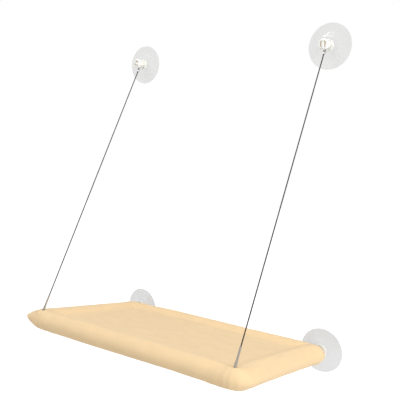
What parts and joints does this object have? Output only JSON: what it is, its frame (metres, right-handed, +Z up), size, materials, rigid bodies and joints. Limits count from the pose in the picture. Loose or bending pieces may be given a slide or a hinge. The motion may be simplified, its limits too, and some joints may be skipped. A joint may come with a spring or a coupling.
{
  "type": "window-mounted cat hammock",
  "caption": "Padded fabric cat bed on a tube frame, held to a window by suction cups, with steel cables up to its front corners; folds up flat to the glass.",
  "frame": {"origin": "on the glass, midway between the cups, at the height of the rear rail and of the lower cups", "axes": "+Y into the glass, so the front of the bed faces -Y; +Z up; +X to the right as seen from the room"},
  "size_m": [0.588, 0.3337, 0.7],
  "materials": {
    "clear_pvc": "clear soft PVC, smooth",
    "steel": "plated, satin",
    "cream_plastic": "moulded, notched rim",
    "white_plastic": "moulded, smooth",
    "cable_steel": "stranded wire rope under a clear coat",
    "sleeve_pvc": "grey soft PVC sleeve",
    "rail_pvc": "white PVC tube",
    "corner_plastic": "moulded, fine grain",
    "foam": "open-cell foam",
    "fabric": "smooth tan woven cover",
    "zip_cloth": "zip tape and coil",
    "zip_metal": "cast zip slider"
  },
  "bodies": {
    "window_mounts": {"upper_cup_left": "clear_pvc", "upper_stud_left": "steel", "lower_cup_left": "clear_pvc", "lower_stud_left": "steel", "cable_eye_left": "cable_steel", "upper_cup_right": "clear_pvc", "upper_stud_right": "steel", "lower_cup_right": "clear_pvc", "lower_stud_right": "steel", "cable_eye_right": "cable_steel"},
    "bed": {"rear_rail": "rail_pvc", "front_rail": "rail_pvc", "side_rail_left": "rail_pvc", "side_foam_left": "foam", "rear_corner_left": "corner_plastic", "front_corner_left": "corner_plastic", "swivel_pin_left": "steel", "cable_tail_left": "cable_steel", "cable_stop_left": "steel", "side_rail_right": "rail_pvc", "side_foam_right": "foam", "rear_corner_right": "corner_plastic", "front_corner_right": "corner_plastic", "swivel_pin_right": "steel", "cable_tail_right": "cable_steel", "cable_stop_right": "steel", "rear_foam": "foam", "front_foam": "foam", "seat_pad": "foam", "cover_top": "fabric", "cover_base": "fabric", "zip_strip": "zip_cloth"},
    "upper_collar_left": {"upper_collar_left": "cream_plastic"},
    "lower_collar_left": {"lower_collar_left": "cream_plastic"},
    "cap_nut_left": {"cap_nut_left": "white_plastic"},
    "cable_upper_left": {"cable_crimp_left": "steel", "cable_upper_left": "cable_steel"},
    "cable_lower_left": {"cable_lower_left": "cable_steel", "cable_sleeve_left": "sleeve_pvc"},
    "upper_collar_right": {"upper_collar_right": "cream_plastic"},
    "lower_collar_right": {"lower_collar_right": "cream_plastic"},
    "cap_nut_right": {"cap_nut_right": "white_plastic"},
    "cable_upper_right": {"cable_crimp_right": "steel", "cable_upper_right": "cable_steel"},
    "cable_lower_right": {"cable_lower_right": "cable_steel", "cable_sleeve_right": "sleeve_pvc"},
    "zip_slider": {"zip_slider": "zip_metal"}
  },
  "joints": [
    {"name": "bed_fold", "type": "hinge", "parent": "window_mounts", "child": "bed", "pos_m": [0, -0.034, 0], "axis": [-1, 0, 0], "range_deg": [0, 74], "deforming": ["cable_upper_left", "cable_lower_left", "cable_sleeve_left", "cable_upper_right", "cable_lower_right", "cable_sleeve_right"]},
    {"name": "cable_upper_swing_left", "type": "hinge", "parent": "window_mounts", "child": "cable_upper_left", "pos_m": [-0.2435, -0.0231, 0.598], "axis": [-1, 0, 0], "range_deg": [-30.5, 0]},
    {"name": "cable_lower_swing_left", "type": "hinge", "parent": "cable_upper_left", "child": "cable_lower_left", "pos_m": [-0.2435, -0.24135, 0.19477], "axis": [-1, 0, 0], "range_deg": [0, 164.5]},
    {"name": "cable_upper_swing_right", "type": "hinge", "parent": "window_mounts", "child": "cable_upper_right", "pos_m": [0.2435, -0.0231, 0.598], "axis": [-1, 0, 0], "range_deg": [-30.5, 0]},
    {"name": "cable_lower_swing_right", "type": "hinge", "parent": "cable_upper_right", "child": "cable_lower_right", "pos_m": [0.2435, -0.24135, 0.19477], "axis": [-1, 0, 0], "range_deg": [0, 164.5]},
    {"name": "cap_nut_turn_left", "type": "hinge", "parent": "window_mounts", "child": "cap_nut_left", "pos_m": [-0.2435, -0.025, 0.61], "axis": [0, -1, 0], "continuous": true},
    {"name": "upper_collar_turn_left", "type": "hinge", "parent": "window_mounts", "child": "upper_collar_left", "pos_m": [-0.2435, -0.012, 0.61], "axis": [0, -1, 0], "continuous": true},
    {"name": "lower_collar_turn_left", "type": "hinge", "parent": "window_mounts", "child": "lower_collar_left", "pos_m": [-0.249, -0.011, 0], "axis": [0, -1, 0], "continuous": true},
    {"name": "cap_nut_turn_right", "type": "hinge", "parent": "window_mounts", "child": "cap_nut_right", "pos_m": [0.2435, -0.025, 0.61], "axis": [0, -1, 0], "continuous": true},
    {"name": "upper_collar_turn_right", "type": "hinge", "parent": "window_mounts", "child": "upper_collar_right", "pos_m": [0.2435, -0.012, 0.61], "axis": [0, -1, 0], "continuous": true},
    {"name": "lower_collar_turn_right", "type": "hinge", "parent": "window_mounts", "child": "lower_collar_right", "pos_m": [0.249, -0.011, 0], "axis": [0, -1, 0], "continuous": true},
    {"name": "zip_slide", "type": "slide", "parent": "bed", "child": "zip_slider", "axis": [-1, 0, 0], "range_m": [0, 0.34]}
  ],
  "couplings": [
    {"joint": "cable_upper_swing_left", "follows": "bed_fold", "ratio": -0.41071},
    {"joint": "cable_lower_swing_left", "follows": "bed_fold", "ratio": 2.221},
    {"joint": "cable_upper_swing_right", "follows": "bed_fold", "ratio": -0.41071},
    {"joint": "cable_lower_swing_right", "follows": "bed_fold", "ratio": 2.221}
  ]
}
